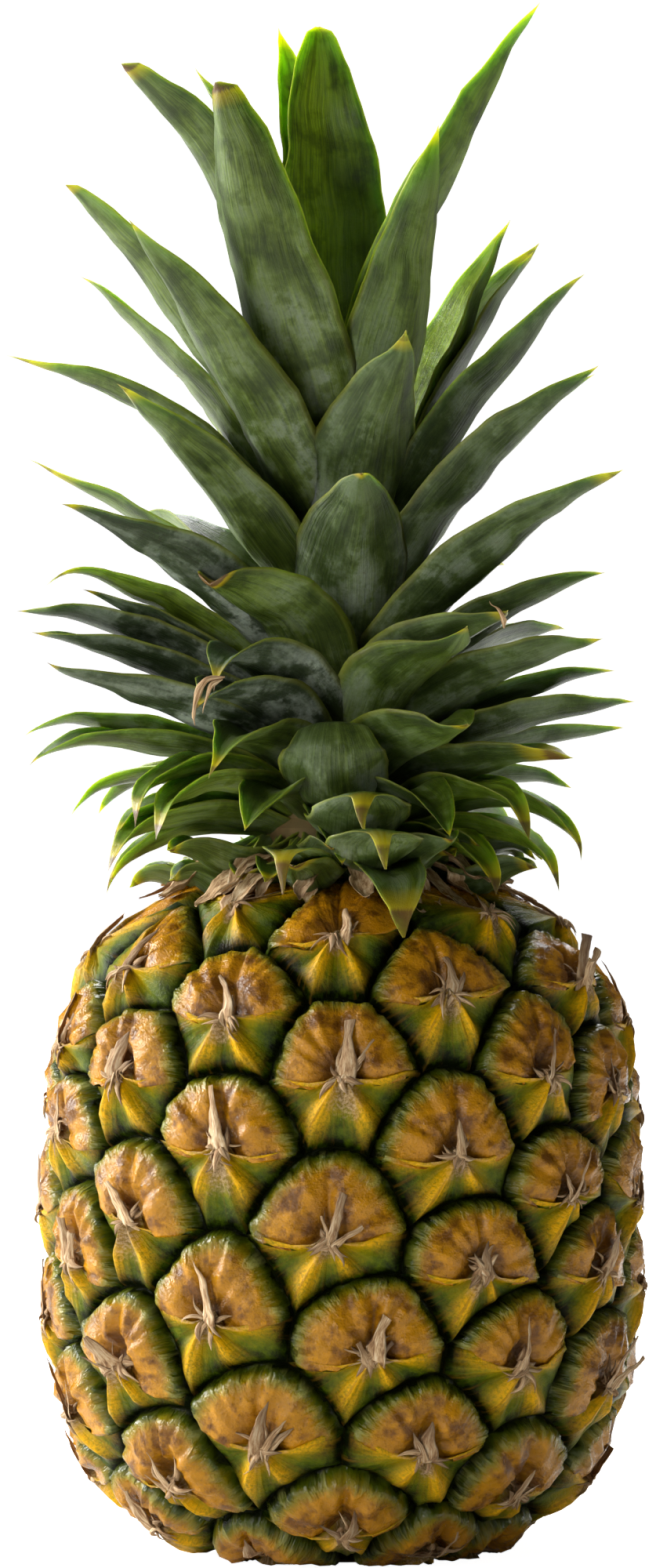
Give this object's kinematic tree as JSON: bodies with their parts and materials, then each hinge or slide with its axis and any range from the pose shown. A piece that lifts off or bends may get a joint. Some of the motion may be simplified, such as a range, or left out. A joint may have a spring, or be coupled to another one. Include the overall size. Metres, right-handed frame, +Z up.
{
  "type": "pineapple",
  "caption": "Whole fresh pineapple standing on its flat base: barrel-shaped fruit with raised, bract-crossed eyes under a tall crown of pointed channelled leaves.",
  "frame": {"origin": "middle of the base, on the surface that the fruit stands on", "axes": "+Z up along the fruit's own axis to the crown; -Y is the side that faces the picture's camera"},
  "size_m": [0.127, 0.1204, 0.307],
  "materials": {
    "fruit_skin": null,
    "crown_leaf": null,
    "dry_stalk": null
  },
  "bodies": {
    "root": {"fruit": "fruit_skin", "crown": "crown_leaf", "cut_stalk": "dry_stalk"}
  },
  "joints": []
}
